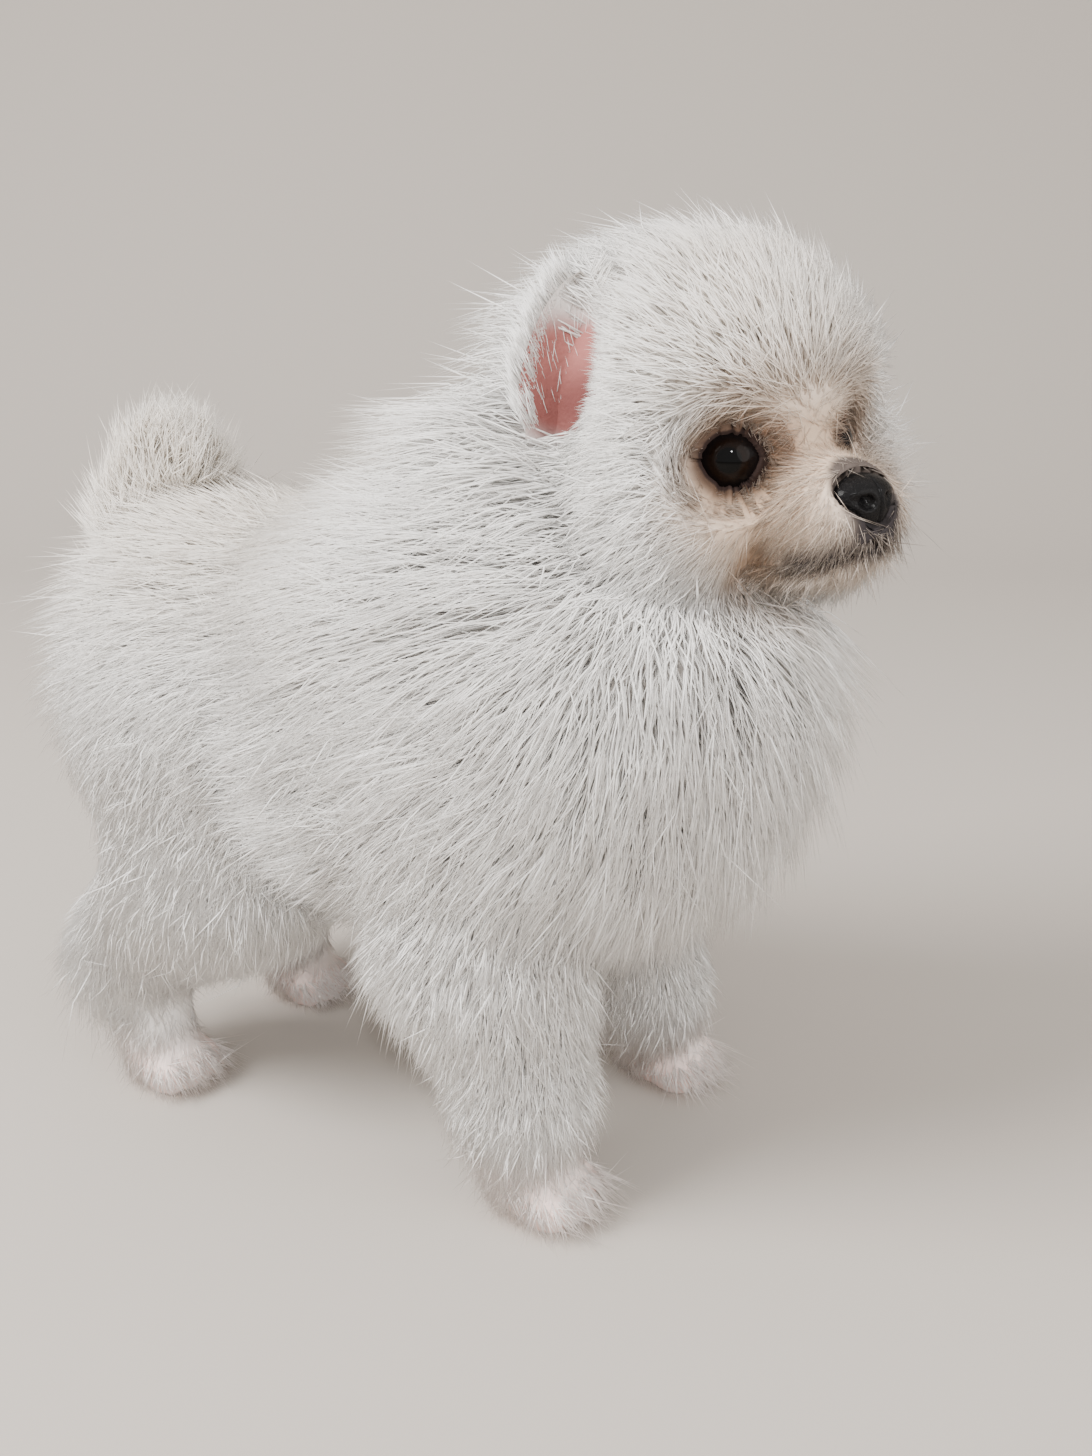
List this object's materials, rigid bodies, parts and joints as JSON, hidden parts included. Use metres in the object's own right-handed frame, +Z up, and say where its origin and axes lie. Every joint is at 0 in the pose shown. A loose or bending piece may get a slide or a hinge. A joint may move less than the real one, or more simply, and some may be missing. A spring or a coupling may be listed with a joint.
{
  "type": "pomeranian puppy",
  "caption": "Life-size still model of a fluffy white pomeranian puppy, standing on all fours with its head turned and its tail raised over the rump.",
  "frame": {"origin": "on the floor, under the middle of the whole model's box", "axes": "+X forward along the trunk, +Y to the puppy's left, +Z up from the floor"},
  "size_m": [0.2058, 0.118, 0.2044],
  "materials": {
    "coat_white": "long soft white hair",
    "coat_cream": "long soft cream hair",
    "ear_cream": "short soft cream hair with pink skin inside",
    "nose_leather": "moist black pebbled leather",
    "eye_gloss": "wet, very glossy near-black",
    "paw_skin": "pinkish skin under short white hair, with small claws"
  },
  "bodies": {
    "root": {"torso": "coat_white", "neck": "coat_white", "head": "coat_white", "tail": "coat_cream", "ear_left": "ear_cream", "ear_right": "ear_cream", "nose": "nose_leather", "eye_left": "eye_gloss", "eye_right": "eye_gloss", "foreleg_left": "coat_white", "foreleg_right": "coat_white", "hindleg_left": "coat_white", "hindleg_right": "coat_white", "forepaw_left": "paw_skin", "forepaw_right": "paw_skin", "hindpaw_left": "paw_skin", "hindpaw_right": "paw_skin"}
  },
  "joints": []
}
